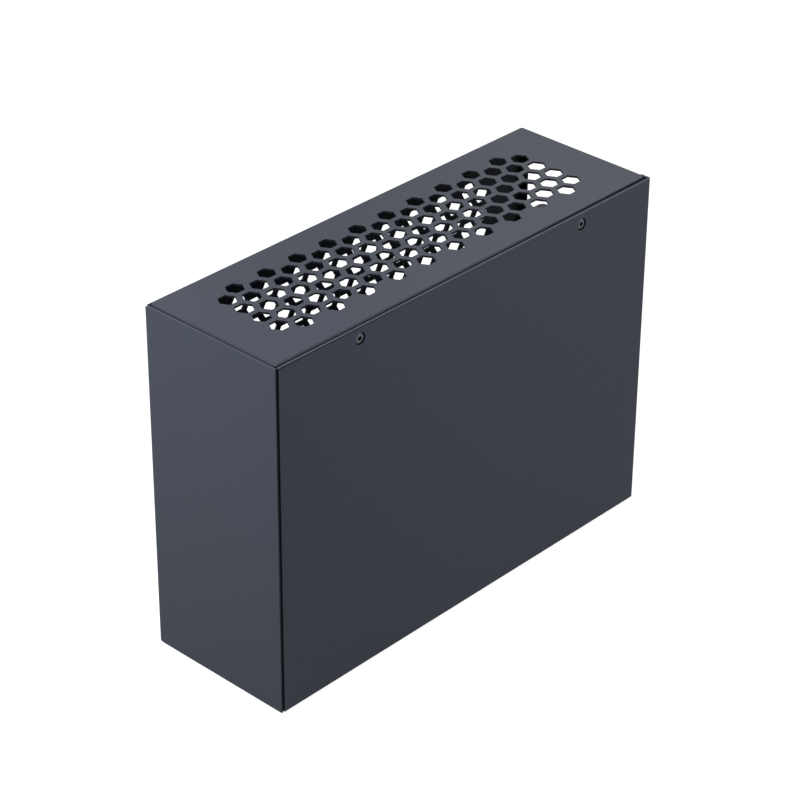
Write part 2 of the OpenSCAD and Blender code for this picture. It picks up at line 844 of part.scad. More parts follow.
module power_coils() {
    color(fin_grey) for (i = [0:coil_count - 1]) translate([coil_x + i * coil_step, coil_y, board_top])
        linear_extrude(coil_h) difference() {
            square(coil_w, center = true);
            for (turn = [0:3])
                rotate(turn * 90) translate([coil_w / 2, coil_w / 2]) circle(coil_edge, $fn = 4);
        }
}

module capacitors() {
    color(bright_zinc) for (i = [0:coil_count - 1]) translate([coil_x + i * coil_step, cap_y, board_top]) {
        linear_extrude(cap_base) square(cap_base_w, center = true);
        translate([0, 0, cap_base]) cylinder(r = cap_r, h = cap_h - cap_base);
    }
}

module power_transistors() {
    color(plastic_black) for (i = [0:coil_count - 1])
        translate([coil_x + i * coil_step, transistor_y, board_top + transistor[2] / 2])
            cube(transistor, center = true);
}

main_shell();
side_cover();
cover_screws();
cover_nuts();
cover_hooks();
rubber_feet();
bracket_post();
post_screws();
dock_board();
board_standoffs();
board_screws();
card_socket();
slot_latch();
power_socket();
power_terminals();
host_ports();
switch_body();
power_button();
status_lamp();
controller_chip();
controller_heatsink();
heatsink_pins();
power_coils();
capacitors();
power_transistors();
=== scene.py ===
from math import pi

import bpy
from mathutils import Matrix, Vector


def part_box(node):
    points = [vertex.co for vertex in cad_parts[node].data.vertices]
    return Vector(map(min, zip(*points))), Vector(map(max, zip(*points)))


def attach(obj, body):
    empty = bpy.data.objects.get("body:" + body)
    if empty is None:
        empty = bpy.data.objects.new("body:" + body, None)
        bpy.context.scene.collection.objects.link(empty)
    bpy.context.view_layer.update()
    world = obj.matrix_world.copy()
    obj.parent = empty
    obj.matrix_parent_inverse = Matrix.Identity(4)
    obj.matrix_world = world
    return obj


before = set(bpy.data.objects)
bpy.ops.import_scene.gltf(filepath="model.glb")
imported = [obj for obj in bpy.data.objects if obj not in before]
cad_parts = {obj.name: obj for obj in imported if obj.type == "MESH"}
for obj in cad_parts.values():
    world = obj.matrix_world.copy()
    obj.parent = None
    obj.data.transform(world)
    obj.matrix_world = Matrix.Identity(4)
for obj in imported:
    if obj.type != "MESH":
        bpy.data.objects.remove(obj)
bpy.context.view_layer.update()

# The photographer's place: a long lens, looking down on the corner between the closed end and the
# screwed cover. It was solved from the corners of the case and the grid of the top vent.
camera_data = bpy.data.cameras.new("photo_camera")
camera_data.sensor_width = 36.0
camera_data.lens = 125.651
camera = bpy.data.objects.new("photo_camera", camera_data)
bpy.context.scene.collection.objects.link(camera)
to_the_right = Vector((0.68474867, -0.72875272, 0.00622352))
upwards = Vector((0.37206238, 0.35691367, 0.85684434))
ahead = Vector((0.6266489, 0.58440748, -0.51553763))
camera_place = Vector((-0.808852, -0.749863, 0.758024))
camera_turn = Matrix((to_the_right, upwards, -ahead)).transposed().to_4x4()
camera.matrix_world = Matrix.Translation(camera_place) @ camera_turn
bpy.context.scene.camera = camera
bpy.context.scene.view_settings.view_transform = "Standard"


# The studio: a white floor that fills the view and keeps the case's soft shadow, under five soft
# boxes. What the camera and the reflections see of the floor and the air is white. What they throw
# back on the case as light is only grey.
class Channel:
    """A value, colour or vector on its way through a node tree. Arithmetic on it adds Math nodes."""

    def __init__(self, socket):
        self.socket = socket

    def math(self, operation, *terms):
        node = self.socket.id_data.nodes.new("ShaderNodeMath")
        node.operation = operation
        for slot, term in zip(node.inputs, terms):
            feed(slot, term)
        return Channel(node.outputs[0])

    def __add__(self, other):
        return self.math("ADD", self, other)

    def __sub__(self, other):
        return self.math("SUBTRACT", self, other)

    def __rsub__(self, other):
        return self.math("SUBTRACT", other, self)

    def __mul__(self, other):
        return self.math("MULTIPLY", self, other)

    def __truediv__(self, other):
        return self.math("DIVIDE", self, other)

    def __gt__(self, other):
        return self.math("GREATER_THAN", self, other)

    def __lt__(self, other):
        return self.math("LESS_THAN", self, other)

    def __abs__(self):
        return self.math("ABSOLUTE", self)

    __radd__ = __add__
    __rmul__ = __mul__

    def most(self, *others):
        """The greatest of this and the others."""
        greatest = self
        for other in others:
            greatest = self.math("MAXIMUM", greatest, other)
        return greatest


def feed(slot, term):
    """Gives a node's socket its link or its value. A colour gets its alpha."""
    if isinstance(term, Channel):
        slot.id_data.links.new(term.socket, slot)
    elif isinstance(term, tuple) and len(slot.default_value) == len(term) + 1:
        slot.default_value = (*term, 1.0)
    else:
        slot.default_value = term


class Nodes:
    """A node tree. add() makes any node: its settings as keywords, its sockets by name or number."""

    def __init__(self, tree):
        self.tree = tree

    def add(self, kind, sockets=None, out=0, **settings):
        node = self.tree.nodes.new(kind)
        for key, value in settings.items():
            setattr(node, key, value)

        def pick(ends, key):
            usable = [end for end in ends if end.enabled]
            if isinstance(key, int):
                return usable[key]
            return next(end for end in usable if end.name == key)

        for key, term in (sockets or {}).items():
            for one in term if isinstance(term, list) else [term]:
                feed(pick(node.inputs, key), one)
        return Channel(pick(node.outputs, out)) if node.outputs else None

    def part(self, vector, axis):
        """The X, Y or Z of a vector."""
        return self.add("ShaderNodeSeparateXYZ", {"Vector": vector}, out=axis)


class Finish(Nodes):
    """One procedural material. place is the point on the object, in metres."""

    def __init__(self, name):
        self.material = bpy.data.materials.new(name)
        self.material.use_nodes = True
        super().__init__(self.material.node_tree)
        self.tree.nodes.clear()
        self.place = self.add("ShaderNodeTexCoord", out="Object")

    def noise(self, scale, detail=2.0, stretch=(1.0, 1.0, 1.0)):
        where = self.place
        if stretch != (1.0, 1.0, 1.0):
            where = self.add("ShaderNodeMapping", {"Vector": where, "Scale": stretch})
        return self.add("ShaderNodeTexNoise", {"Vector": where, "Scale": scale, "Detail": detail})

    def blend(self, amount, first, second):
        return self.add("ShaderNodeMix", {"Factor": amount, "A": first, "B": second}, data_type="RGBA")

    def ramp(self, value, start, end, low=0.0, high=1.0):
        """low where the value is start, high where it is end, and never past them."""
        return self.add("ShaderNodeMapRange", {
            "Value": value, "From Min": start, "From Max": end, "To Min": low, "To Max": high,
        })

    def facing(self):
        """The way the surface faces, before any rounding or bump."""
        return self.add("ShaderNodeNewGeometry", out="Normal")

    def dot(self, first, second):
        ends = {0: first, 1: second}
        return self.add("ShaderNodeVectorMath", ends, out="Value", operation="DOT_PRODUCT")

    def rounded(self, radius):
        """(normal with every edge rounded, how close the point is to an edge, from 0 to 1)."""
        normal = self.add("ShaderNodeBevel", {"Radius": radius}, samples=6)
        return normal, self.ramp(1.0 - self.dot(normal, self.facing()), 0.01, 0.2)

    def crevice(self, reach):
        """1 deep in a gap, hole or recess as wide as reach, 0 on an open face."""
        sky = self.add("ShaderNodeAmbientOcclusion", {"Distance": reach}, out="AO", samples=8)
        return self.ramp(1.0 - sky, 0.1, 0.55)

    def bump(self, height, depth, normal=None):
        sockets = {"Height": height, "Distance": depth}
        if normal is not None:
            sockets["Normal"] = normal
        return self.add("ShaderNodeBump", sockets)

    def surface(self, **sockets):
        """Ends the material in a Principled shader. Its sockets are keywords, with _ for a space."""
        named = {key.replace("_", " "): term for key, term in sockets.items()}
        self.add("ShaderNodeOutputMaterial", {"Surface": self.add("ShaderNodeBsdfPrincipled", named)})
        return self.material


def seen_directly(tree):
    """1 for what the camera sees straight, mirrored or through glass, 0 for what only lights."""
    camera_ray, glossy_ray, glass_ray = (
        tree.add("ShaderNodeLightPath", out=f"Is {kind} Ray")
        for kind in ("Camera", "Glossy", "Transmission")
    )
    return camera_ray.math("MINIMUM", camera_ray + glossy_ray + glass_ray, 1.0)


paper = Finish("studio_paper")
paper_seen = seen_directly(paper)
floor_grey, floor_white, floor_glow = 0.08, 0.45, 0.9
paper.surface(
    Base_Color=paper.blend(paper_seen, (floor_grey,) * 3, (floor_white,) * 3),
    Roughness=0.9, Specular_IOR_Level=0.0,
    Emission_Color=(1.0, 1.0, 1.0), Emission_Strength=paper_seen * floor_glow,
)
floor_half = 4.0
floor_corners = [(x * floor_half, y * floor_half, 0.0) for x, y in ((-1, -1), (1, -1), (1, 1), (-1, 1))]
floor_mesh = bpy.data.meshes.new("studio_floor")
floor_mesh.from_pydata(floor_corners, [], [(0, 1, 2, 3)])
floor_mesh.materials.append(paper.material)
floor = bpy.data.objects.new("studio_floor", floor_mesh)
bpy.context.scene.collection.objects.link(floor)

world = bpy.data.worlds.new("studio_air")
world.use_nodes = True
bpy.context.scene.world = world
air = Nodes(world.node_tree)
air.tree.nodes.clear()
dome_light = 0.12
air_glow = seen_directly(air) * (1.0 - dome_light) + dome_light
sky = air.add("ShaderNodeBackground", {"Color": (1.0, 1.0, 1.0), "Strength": air_glow})
air.add("ShaderNodeOutputWorld", {"Surface": sky})

case_middle = Vector((0.0, 0.0, 0.09))
for name, place, watts, width in (
    ("soft_box_closed_end", (-0.40, 0.10, 0.35), 1.66, 0.25),
    ("soft_box_cover", (-0.03, -0.30, 0.40), 0.50, 0.3),
    ("soft_box_right", (0.70, -0.80, 0.50), 2.7, 0.5),
    ("soft_box_top", (0.35, 0.15, 0.45), 0.46, 0.3),
    ("soft_box_behind", (0.30, 1.10, 0.50), 3.2, 0.6),
):
    lamp = bpy.data.lights.new(name, "AREA")
    lamp.energy, lamp.size = watts, width
    holder = bpy.data.objects.new(name, lamp)
    holder.location = place
    holder.rotation_euler = (case_middle - Vector(place)).to_track_quat("-Z", "Y").to_euler()
    bpy.context.scene.collection.objects.link(holder)

# The folded shell: one sheet of steel, cut and punched flat, bent and then coated with satin black
# powder. The coat is a little uneven like fine orange peel, and thins to a paler line on cut edges,
# which also serves as a painted highlight. Painted shade darkens its gaps, hole walls and inside.
coat_black = (0.047, 0.056, 0.078)
coat_edge_wear_and_highlight = (0.125, 0.134, 0.155)
coat_dust = (0.3, 0.3, 0.31)
coat_shade_colour = (0.004, 0.005, 0.007)
coat_rounding = 0.00035
gap_reach = 0.003


def toned(colour, factor):
    return tuple(factor * part for part in colour)


def powder_coat(name, dark=None, tone=coat_black):
    """Satin powder coat with painted shade in its gaps. dark(coat) is 1 where more shade is painted."""
    coat = Finish(name)
    rounded, near_edge = coat.rounded(coat_rounding)
    cloud = coat.noise(18.0, 3.0)
    peel = coat.noise(900.0, 1.0)
    grain = coat.noise(5200.0, 1.0)
    dust = coat.noise(1400.0, 4.0) > 0.74
    body = coat.blend(cloud, toned(tone, 0.93), toned(tone, 1.08))
    # Paler cut edges: thin coat, and a painted highlight along them.
    worn_and_highlit = near_edge * (0.35 + 0.5 * coat.noise(260.0))
    body = coat.blend(worn_and_highlit, body, coat_edge_wear_and_highlight)
    body = coat.blend(dust * 0.10, body, coat_dust)
    # Painted shade: gaps and recesses found by ambient occlusion, and whatever dark(coat) marks, turn
    # near black.
    painted_shade = coat.crevice(gap_reach)
    if dark is not None:
        painted_shade = painted_shade.most(dark(coat) * (0.7 + 0.3 * cloud))
    return coat.surface(
        Base_Color=coat.blend(painted_shade, body, coat_shade_colour),
        Roughness=0.40 + 0.08 * cloud + 0.04 * grain + 0.4 * painted_shade,
        Specular_IOR_Level=0.12,
        Normal=coat.bump(peel + 0.35 * grain, 0.00002, rounded),
    )


shell_low, shell_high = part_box("main_shell")
cover_low, cover_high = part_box("side_cover")
sheet = 0.00105
vent_half_length, top_vent_half_width, wall_vent_half_height = 0.104, 0.030, 0.076
# How dark the painted shade on the inside faces is
inside_dark = 0.9
seam_flange_y, seam_bend = cover_low.y + 0.002, 0.0014
seam_middle_width, seam_open_end_width = 0.0008, 0.0019


def dark_of_the_shell(coat):
    """Where shade is painted: the inside of the sheets, the walls of the vent holes, the closed end's
    cut edge, and the bend above the cover.
    """
    face = coat.facing()
    from_middle = coat.add(
        "ShaderNodeVectorMath", {0: coat.place, 1: (shell_low + shell_high) / 2}, operation="SUBTRACT"
    )
    x, y, z = (coat.part(coat.place, axis) for axis in "XYZ")
    dx, dy, dz = (coat.part(from_middle, axis) for axis in "XYZ")
    upright = abs(coat.part(face, "Z")) < 0.5
    across = abs(coat.part(face, "Y")) < 0.5
    in_vents = abs(dx) < vent_half_length
    top_holes = upright * in_vents * (z > shell_high.z - sheet) * (abs(dy) < top_vent_half_width)
    wall_holes = across * in_vents * (y > shell_high.y - sheet) * (abs(dz) < wall_vent_half_height)
    end_edge = (y < shell_low.y + 0.00004) * (x > shell_low.x + 0.0003)
    # Painted shade on the bend beside the cover's edge: a dark line, which widens towards the open end
    up_the_bend = 0.515 * (y - seam_flange_y) + 0.857 * (z - (shell_high.z - seam_bend))
    seam_width = coat.ramp(x, 0.0, shell_high.x, seam_middle_width, seam_open_end_width)
    at_the_seam = (z > shell_high.z - 0.003) * (x > shell_low.x + 0.003)
    seam = (up_the_bend - seam_width < 0.0) * at_the_seam
    turned_in = coat.dot(face, from_middle) < 0.0
    return top_holes.most(wall_holes, end_edge, seam, inside_dark * turned_in)


def dress(node, finish):
    """Gives a CAD node's object its finish."""
    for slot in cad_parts[node].material_slots:
        slot.material = finish


dress("main_shell", powder_coat("shell_powder_coat", dark_of_the_shell))


# The clinch nuts in the top flange: turned steel with bright zinc, pressed into their holes from
# inside, with fine turning lines and a slightly yellow and blue bloom.
def bright_zinc(name, lines, resin=None):
    """Bright zinc with lines along one axis. resin(plate) is 1 on a moulded part of the piece."""
    plate = Finish(name)
    rounded, near_edge = plate.rounded(0.00015)
    drawn = plate.noise(1200.0, 3.0, lines)
    tint = plate.noise(160.0, 2.0)
    body = plate.blend(tint, (0.50, 0.52, 0.56), (0.62, 0.61, 0.56))
    body = plate.blend(near_edge * 0.5, body, (0.74, 0.75, 0.76))
    metal = 1.0
    if resin is not None:
        moulded_part = resin(plate)
        body, metal = plate.blend(moulded_part, body, (0.02, 0.02, 0.022)), 1.0 - moulded_part
    return plate.surface(
        Base_Color=body, Metallic=metal, Roughness=0.24 + 0.2 * drawn,
        Normal=plate.bump(drawn, 0.000006, rounded),
    )


dress("cover_nuts", bright_zinc("nut_zinc", (1.0, 0.1, 1.0)))

# The feet: four round pads of black rubber, stuck under the floor. Their moulded skin is matte and
# holds a little dust, most of all along the rim.
rubber = Finish("foot_rubber")
rounded, near_edge = rubber.rounded(0.0003)
dusty = rubber.noise(420.0, 5.0)
dress("rubber_feet", rubber.surface(
    Base_Color=rubber.blend(dusty * 0.4 + near_edge * 0.2, (0.016, 0.016, 0.017), (0.07, 0.07, 0.068)),
    Roughness=0.72 + 0.2 * dusty,
    Specular_IOR_Level=0.3,
    Normal=rubber.bump(rubber.noise(3000.0, 3.0), 0.00003, rounded),
))

# The bracket post: a thicker sheet, cut with two port windows, folded into a foot and a shelf, and
# coated like the shell. Its two pan-head screws hold the foot to the floor from below.
dress("bracket_post", powder_coat("post_powder_coat"))


def black_zinc(name, head=None):
    """Black zinc, with painted shade in its recesses. head gives a countersunk head's middle, its flat's
    radius and its rim's radius, where the rim and the socket's mouth get painted shade.
    """
    plate = Finish(name)
    rounded, near_edge = plate.rounded(0.00012)
    bloom = plate.noise(700.0, 2.0)
    body = plate.blend(bloom, (0.060, 0.064, 0.076), (0.095, 0.098, 0.115))
    body = plate.blend(near_edge * plate.noise(2500.0), body, (0.42, 0.42, 0.43))
    skin = plate.noise(6000.0, 2.0)
    if head is not None:
        middle, flat_radius, rim_radius = head
        beside = abs(plate.part(plate.place, "X")) - middle.x
        above = plate.part(plate.place, "Z") - middle.z
        squared = beside * beside + above * above
        radius = squared.math("SQRT", squared)
        # Painted shade: the head's rim and the mouth of its socket go dark.
        rim = plate.ramp(radius, flat_radius, rim_radius)
        mouth = 0.5 * (radius < 0.0012)
        body = plate.blend(rim.most(mouth) * 0.9, body, (0.008, 0.008, 0.010))
        rounded = plate.bump(-1.0 * rim * rim, 0.0006, rounded)
    # Painted shade in recesses and gaps.
    body = plate.blend(plate.crevice(0.0014), body, (0.004, 0.004, 0.005))
    return plate.surface(
        Base_Color=body, Metallic=1.0, Roughness=0.26 + 0.2 * bloom,
        Normal=plate.bump(skin, 0.000004, rounded),
    )


dress("post_screws", black_zinc("post_screw_zinc"))


# The standoffs: six brass hexagons, turned from bar and clinched into the floor. They carry the
# board, and show fine lines round them and a few dull stains.
def brass(name, bright=(0.62, 0.45, 0.20)):
    metal = Finish(name)
    rounded, near_edge = metal.rounded(0.00012)
    turned = metal.noise(2200.0, 2.0, (0.3, 0.3, 1.0))
    stain = metal.noise(240.0, 3.0)
    body = metal.blend(stain, toned(bright, 0.72), bright)
    body = metal.blend(near_edge * 0.5, body, (0.86, 0.70, 0.40))
    return metal.surface(
        Base_Color=body, Metallic=1.0, Roughness=0.22 + 0.25 * turned,
        Normal=metal.bump(turned, 0.000006, rounded),
    )


dress("board_standoffs", brass("standoff_brass"))

# The dock board: glass fibre with black solder mask, screwed to the standoffs. Copper traces run in
# bundles under the mask, vias dot it, and the sawn edges show the bare laminate.
board_low, board_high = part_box("dock_board")
board = Finish("board_solder_mask")
trace_step = 0.0009


def traces(across):
    """Stripes at every trace_step, as copper traces lie side by side."""
    steps = across * (1.0 / trace_step)
    return steps.math("FRACT", steps) < 0.5


patches = board.add("ShaderNodeTexVoronoi", {"Vector": board.place, "Scale": 90.0}, out="Color")
patch = board.add("ShaderNodeSeparateColor", {"Color": patches}, out="Red")
lengthways, crossways = (traces(board.part(board.place, axis)) for axis in "YX")
bundle = (patch > 0.3) * (patch < 0.62) * lengthways + (patch > 0.62) * crossways
via = board.add("ShaderNodeTexVoronoi", {"Vector": board.place, "Scale": 260.0}, out="Distance") < 0.14
weave = board.noise(2600.0, 2.0, (1.0, 1.0, 0.2))
mask_tone = board.blend(bundle, (0.010, 0.014, 0.013), (0.020, 0.028, 0.026))
mask_tone = board.blend(via * 0.6, mask_tone, (0.16, 0.17, 0.15))
laminate = board.blend(weave, (0.10, 0.085, 0.045), (0.22, 0.19, 0.11))
sawn = abs(board.part(board.facing(), "Z")) < 0.5
dress("dock_board", board.surface(
    Base_Color=board.blend(sawn, mask_tone, laminate),
    Roughness=0.24 + 0.05 * weave + 0.45 * sawn,
    Normal=board.bump(bundle + 1.5 * via + 0.2 * weave, 0.00002),
))


# The card socket: a long moulding of black plastic, soldered to the board, with a groove for the
# card's edge, a key and two ears for the latch. Its skin is finely spark-eroded.
def moulded(name, tone=(0.016, 0.016, 0.018), gloss_loss=0.42):
    resin = Finish(name)
    rounded, near_edge = resin.rounded(0.0002)
    skin = resin.noise(4200.0, 3.0)
    flow = resin.noise(120.0, 2.0)
    body = resin.blend(flow, toned(tone, 0.85), toned(tone, 1.2))
    body = resin.blend(near_edge * 0.4, body, tuple(2.6 * part + 0.01 for part in tone))
    return resin.surface(
        Base_Color=body, Roughness=gloss_loss + 0.14 * skin,
        Normal=resin.bump(skin, 0.000012, rounded),
    )


socket_low, socket_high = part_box("card_socket")
slot_middle = (socket_low.y + socket_high.y) / 2
dress("card_socket", moulded("socket_plastic"))


# The card socket's contacts: 82 gilt springs on each wall of the groove, stamped from sheet and bowed
# towards the card, in a long row and a short one on the two sides of the key.
class Pattern(Nodes):
    """A Geometry Nodes tree with its sizes as named inputs, worked out once into a plain mesh."""

    def __init__(self, name, **sizes):
        super().__init__(bpy.data.node_groups.new(name, "GeometryNodeTree"))
        self.name = name
        self.sizes = {key.replace("_", " "): size for key, size in sizes.items()}
        for key, size in self.sizes.items():
            kind = "NodeSocketInt" if isinstance(size, int) else "NodeSocketFloat"
            self.tree.interface.new_socket(key, in_out="INPUT", socket_type=kind)
        self.tree.interface.new_socket("Mesh", in_out="OUTPUT", socket_type="NodeSocketGeometry")

    def __getitem__(self, key):
        return self.add("NodeGroupInput", out=key)

    def point(self, x=0.0, y=0.0, z=0.0):
        return self.add("ShaderNodeCombineXYZ", {"X": x, "Y": y, "Z": z})

    def here(self, axis):
        """The X, Y or Z of each corner point of a mesh."""
        return self.part(self.add("GeometryNodeInputPosition"), axis)

    def shifted(self, shape, offset):
        return self.add("GeometryNodeSetPosition", {"Geometry": shape, "Offset": offset})

    def row(self, shape, start, step, count, turn=(0.0, 0.0, 0.0)):
        places = self.add("GeometryNodeMeshLine", {
            "Count": count, "Start Location": start, "Offset": step,
        })
        return self.add("GeometryNodeInstanceOnPoints", {
            "Points": places, "Instance": shape, "Rotation": turn,
        })

    def piece(self, rows, finish, body, slot):
        together = self.add("GeometryNodeJoinGeometry", {0: rows})
        solid = self.add("GeometryNodeRealizeInstances", {"Geometry": together})
        solid = self.add("GeometryNodeSetMaterial", {"Geometry": solid, "Material": finish})
        self.add("NodeGroupOutput", {0: solid})
        made = bpy.data.objects.new(self.name, bpy.data.meshes.new(self.name))
        bpy.context.scene.collection.objects.link(made)
        pattern = made.modifiers.new("pattern", "NODES")
        pattern.node_group = self.tree
        for socket in self.tree.interface.items_tree:
            if socket.in_out == "INPUT":
                pattern[socket.identifier] = self.sizes[socket.name]
        ready = made.evaluated_get(bpy.context.evaluated_depsgraph_get())
        mesh = bpy.data.meshes.new_from_object(ready)
        made.modifiers.remove(pattern)
        made.data = mesh
        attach(made, body)


long_row_x, short_row_x = socket_high.x - 0.0154, socket_high.x - 0.0126
spring_y, spring_z = 0.0008, socket_high.z - 0.0045
springs = Pattern(
    "slot_contacts", Pitch=0.001, Long_row=71, Short_row=11,
    Leaf_width=0.0005, Leaf_thickness=0.0002, Leaf_height=0.0075, Bow=0.0004,
)
leaf_size = springs.point(springs["Leaf width"], springs["Leaf thickness"], springs["Leaf height"])
leaf = springs.add("GeometryNodeMeshCube", {"Size": leaf_size, "Vertices Z": 7})
up_leaf = springs.here("Z") * 2.0 / springs["Leaf height"]
leaf = springs.shifted(leaf, springs.point(y=springs["Bow"] * (1.0 - up_leaf * up_leaf)))
spring_rows = []
for wall, turn in ((-1, 0.0), (1, pi)):
    for first_x, count, way in ((long_row_x, "Long row", -1.0), (short_row_x, "Short row", 1.0)):
        start = (first_x, slot_middle + wall * spring_y, spring_z)
        step = springs.point(x=springs["Pitch"] * way)
        spring_rows.append(springs.row(leaf, start, step, springs[count], (0.0, 0.0, turn)))
gilt = brass("contact_gilding", (0.83, 0.61, 0.27))
springs.piece(spring_rows, gilt, "enclosure", "brass")

# The latch: a moulded hook of smoother black plastic, snapped on its pivot between the socket's ears.
# It swings back to let the card's edge in, and then holds its notch.
dress("slot_latch", moulded("latch_plastic", (0.022, 0.022, 0.025), 0.36))

# The power socket: a glossy black nylon housing with 24 square cavities, soldered to the board. In
# each cavity stands a square brass pin.
dress("power_socket", moulded("power_socket_nylon", (0.018, 0.018, 0.018), 0.33))
dress("power_terminals", brass("terminal_brass", (0.66, 0.55, 0.34)))

# The host ports: shields of drawn steel, soldered to the board. The moulded tongue in each carries
# twelve gilt strips on both faces.
ports_low, ports_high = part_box("host_ports")
port_rows = (ports_low.y + 0.00163, ports_high.y - 0.00163)
port_middle_z = board_high.z + 0.00507
tongue_half, tongue_half_height = 0.0006, 0.0034


def port_tongues(steel):
    y, z = (steel.part(steel.place, axis) for axis in "YZ")
    first, second = (abs(y - port_y) < tongue_half for port_y in port_rows)
    return (first + second) * (abs(z - port_middle_z) < tongue_half_height)


dress("host_ports", bright_zinc("port_steel", (0.08, 1.0, 1.0), port_tongues))

strip_x, strip_y, lowest_strip_z = ports_high.x - 0.0039, 0.00037, port_middle_z - 0.00275
strips = Pattern("port_contacts", Pitch=0.0005, Strips=12, Length=0.0044, Width=0.00026, Height=0.00008)
strip_size = strips.point(strips["Length"], strips["Height"], strips["Width"])
strip = strips.add("GeometryNodeMeshCube", {"Size": strip_size, "Vertices X": 4})
nose = strips.here("X") > 0.3 * strips["Length"]
strip = strips.shifted(strip, strips.point(z=strips.here("Z") * nose * -0.5))
strip_rows = []
for port_y in port_rows:
    for side in (-1, 1):
        start = (strip_x, port_y + side * strip_y, lowest_strip_z)
        strip_rows.append(strips.row(strip, start, strips.point(z=strips["Pitch"]), strips["Strips"]))
strips.piece(strip_rows, gilt, "enclosure", "brass")

# Solder under the board: tin drawn up into one small cone where each pin of the card socket and the
# power socket comes out. The cones are wide at the board and hollow towards the tip.
solder = Finish("solder_tin")
pool = solder.noise(2400.0, 3.0)
solder_tin = solder.surface(
    Base_Color=solder.blend(pool, (0.46, 0.47, 0.50), (0.66, 0.66, 0.68)), Metallic=1.0,
    Roughness=0.24 + 0.3 * pool, Normal=solder.bump(pool, 0.00002),
)
pins_low, pins_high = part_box("power_terminals")
half_pin = 0.00055
slot_pin_rows = (slot_middle - 0.0016, slot_middle + 0.0016)
power_pin_rows = (pins_low.y + half_pin, pins_high.y - half_pin)
cone_top_z = board_low.z + 0.00002
joints = Pattern(
    "solder_joints", Pin_pitch=0.001, Pins=82, Pin_radius=0.00042,
    Power_pitch=0.0042, Power_pins=12, Power_radius=0.0011,
)
joint_rows = []
for radius, tall, count, pitch, first_x, rows_y in (
    ("Pin radius", 0.0007, "Pins", "Pin pitch", socket_high.x - 0.085, slot_pin_rows),
    ("Power radius", 0.0013, "Power pins", "Power pitch", pins_low.x + half_pin, power_pin_rows),
):
    cone = joints.add("GeometryNodeMeshCone", {
        "Vertices": 10, "Side Segments": 3, "Depth": tall,
        "Radius Top": joints[radius] * 0.3, "Radius Bottom": joints[radius],
    })
    up_cone = joints.here("Z") * (1.0 / tall)
    waist = up_cone * (1.0 - up_cone) * -1.1
    cone = joints.shifted(cone, joints.point(joints.here("X") * waist, joints.here("Y") * waist))
    step = joints.point(x=joints[pitch])
    for y in rows_y:
        start = (first_x, y, cone_top_z)
        joint_rows.append(joints.row(cone, start, step, joints[count], (pi, 0.0, 0.0)))
joints.piece(joint_rows, solder_tin, "enclosure", "bright_zinc")

# Small parts soldered on the board: coupling capacitors beside the card socket, larger ceramics behind
# the coils and resistors along the rear edge. Each is a fired ceramic body between two tinned ends.
ceramic = Finish("chip_ceramic")
speck = ceramic.noise(3600.0, 4.0)
chip_ceramic = ceramic.surface(
    Base_Color=ceramic.blend(speck, (0.22, 0.16, 0.10), (0.36, 0.27, 0.18)),
    Roughness=0.42 + 0.2 * speck,
    Normal=ceramic.bump(speck, 0.00001, ceramic.rounded(0.00006)[0]),
)
chips = Pattern("chip_bodies", Couplers=32, Ceramics=7, Resistors=24)
chip_ends = Pattern("chip_ends", Couplers=32, Ceramics=7, Resistors=24, Fillet=0.00018)
body_rows, end_rows = [], []
for kind, first_x, y, pitch, length, width, height in (
    ("Couplers", -0.017, slot_middle + 0.0056, 0.0026, 0.0010, 0.0005, 0.0005),
    ("Ceramics", -0.029, 0.0248, 0.0044, 0.0032, 0.0016, 0.0012),
    ("Resistors", 0.022, 0.0292, 0.0022, 0.0010, 0.0005, 0.00036),
):
    cap = 0.22 * length
    chip_z = board_high.z + height / 2
    body = chips.add("GeometryNodeMeshCube", {"Size": (length - 1.6 * cap, width, height)})
    body_rows.append(chips.row(body, (first_x, y, chip_z), (pitch, 0.0, 0.0), chips[kind]))
    end = chip_ends.add("GeometryNodeMeshCube", {"Size": (cap, 1.06 * width, 1.03 * height)})
    foot = (chip_ends.here("Z") < 0.0) * (chip_ends.here("X") > 0.0)
    end = chip_ends.shifted(end, chip_ends.point(x=foot * chip_ends["Fillet"]))
    for side, turn in ((1, 0.0), (-1, pi)):
        start = (first_x + side * (length - cap) / 2, y, chip_z)
        end_rows.append(chip_ends.row(end, start, (pitch, 0.0, 0.0), chip_ends[kind], (0.0, 0.0, turn)))
chips.piece(body_rows, chip_ceramic, "enclosure", "chip_resin")
chip_ends.piece(end_rows, solder_tin, "enclosure", "bright_zinc")

# The power button: a moulded grey plunger that slides in the black housing of its switch, which is
# soldered at the board's outer edge.
dress("switch_body", moulded("switch_plastic"))
dress("power_button", moulded("button_plastic", (0.21, 0.22, 0.235), 0.38))

# The status lamp: a clear resin lens cast over a yellowish phosphor, soldered on the board. It is
# made unlit.
lens = Finish("lamp_lens")
swirl = lens.noise(900.0, 2.0)
dress("status_lamp", lens.surface(
    Base_Color=lens.blend(swirl, (0.70, 0.66, 0.42), (0.84, 0.83, 0.74)),
    Roughness=0.12 + 0.1 * swirl,
    Normal=lens.bump(swirl, 0.00001, lens.rounded(0.0001)[0]),
))

# The controller and the power transistors: chips moulded in black resin, soldered flat on the board.
# The resin is a little coarser and duller than the housings' plastic.
dress("controller_chip", moulded("chip_resin", (0.019, 0.019, 0.021), 0.5))
dress("power_transistors", moulded("transistor_resin", (0.017, 0.017, 0.019), 0.48))

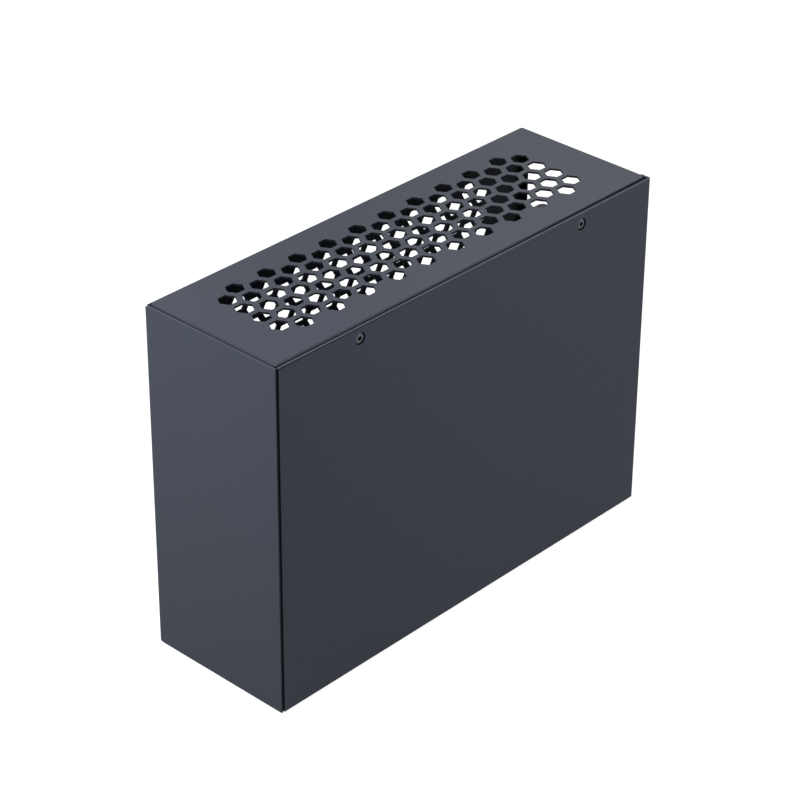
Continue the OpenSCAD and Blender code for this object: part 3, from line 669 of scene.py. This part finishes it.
# The heatsink on the controller: extruded aluminium, anodised black, with fine lines along its fins
# and paler edges. Two nylon pins with barbed ends hold it through the board.
anodised = Finish("heatsink_anodised")
rounded, near_edge = anodised.rounded(0.00015)
drawn = anodised.noise(1500.0, 3.0, (0.05, 1.0, 1.0))
fin = anodised.blend(drawn, (0.045, 0.047, 0.054), (0.075, 0.078, 0.088))
dress("controller_heatsink", anodised.surface(
    Base_Color=anodised.blend(near_edge * 0.6, fin, (0.3, 0.3, 0.32)),
    Metallic=0.75, Roughness=0.36 + 0.14 * drawn,
    Normal=anodised.bump(drawn, 0.00001, rounded),
))
dress("heatsink_pins", moulded("pin_nylon", (0.02, 0.02, 0.021), 0.4))

# The coils: wire wound inside blocks of pressed ferrite powder, soldered on the board. The powder
# leaves a grainy, matte skin.
ferrite = Finish("coil_ferrite")
grain = ferrite.noise(2600.0, 6.0)
dress("power_coils", ferrite.surface(
    Base_Color=ferrite.blend(grain, (0.055, 0.055, 0.058), (0.16, 0.16, 0.165)),
    Roughness=0.62 + 0.2 * grain,
    Normal=ferrite.bump(grain, 0.00005, ferrite.rounded(0.0003)[0]),
))

# The capacitors: cans of drawn aluminium, crimped over a black plastic base that is soldered on the
# board. Faint lines run up the cans.
can = Finish("capacitor_can")
drawn = can.noise(1800.0, 2.0, (1.0, 1.0, 0.1))
base_height = 0.001
base = can.part(can.place, "Z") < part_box("capacitors")[0].z + base_height
drawn_can = can.blend(drawn, (0.60, 0.60, 0.62), (0.74, 0.74, 0.76))
dress("capacitors", can.surface(
    Base_Color=can.blend(base, drawn_can, (0.018, 0.018, 0.02)),
    Metallic=1.0 - base, Roughness=0.22 + 0.14 * drawn + 0.25 * base,
    Normal=can.bump(drawn, 0.000006, can.rounded(0.0004)[0]),
))

# The board screws: six pan heads of bright zinc, turned, that hold the board on its standoffs. Fine
# lines run round their heads.
dress("board_screws", bright_zinc("board_screw_zinc", (1.0, 1.0, 0.1)))

# The side cover: a second sheet with the same coat, folded at the open end only, which closes the
# case last. Towards the closed end a fine dark line of painted shade lies along its upper edge, and
# its inner face is darkened with painted shade.
# The cover's coat is a touch paler and bluer than the shell's: a tint painted for the light on its face.
cover_black_tinted_for_light = (0.0505, 0.057, 0.082)
line_height, line_strength = 0.00055, 1.2
line_start_x, line_end_x = -0.122, 0.02


def dark_of_the_cover(coat):
    """Painted shade on the inner face, and in a fine line along the upper edge that fades towards the
    middle.
    """
    facing_back = coat.part(coat.facing(), "Y")
    x, z = (coat.part(coat.place, axis) for axis in "XZ")
    fading = coat.ramp(x, line_start_x, line_end_x, line_strength, 0.0)
    line = (facing_back < -0.5) * (z > cover_high.z - line_height) * fading
    return line.most(inside_dark * (facing_back > 0.5))


dress("side_cover", powder_coat("cover_powder_coat", dark_of_the_cover, cover_black_tinted_for_light))

# The cover's hooks: two bent leaves of bright zinc steel, spot-welded inside its lower edge. They hang
# the cover over the lower flange, and show the rolling lines of the sheet.
dress("cover_hooks", bright_zinc("hook_zinc", (0.06, 1.0, 1.0)))

# The cover's screws: two countersunk M3 screws in black zinc, which shows a faint bluish bloom and
# bare steel on worn edges. They hold the cover to the nuts in the top flange.
# Painted shade darkens each head's rim and the mouth of its socket.
screws_low, screws_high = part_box("cover_screws")
head_radius = (screws_high.z - screws_low.z) / 2
head_flat_radius = 0.0017
head_middle = Vector((screws_high.x - head_radius, screws_low.y, (screws_low.z + screws_high.z) / 2))
dress("cover_screws", black_zinc("cover_screw_zinc", (head_middle, head_flat_radius, head_radius)))
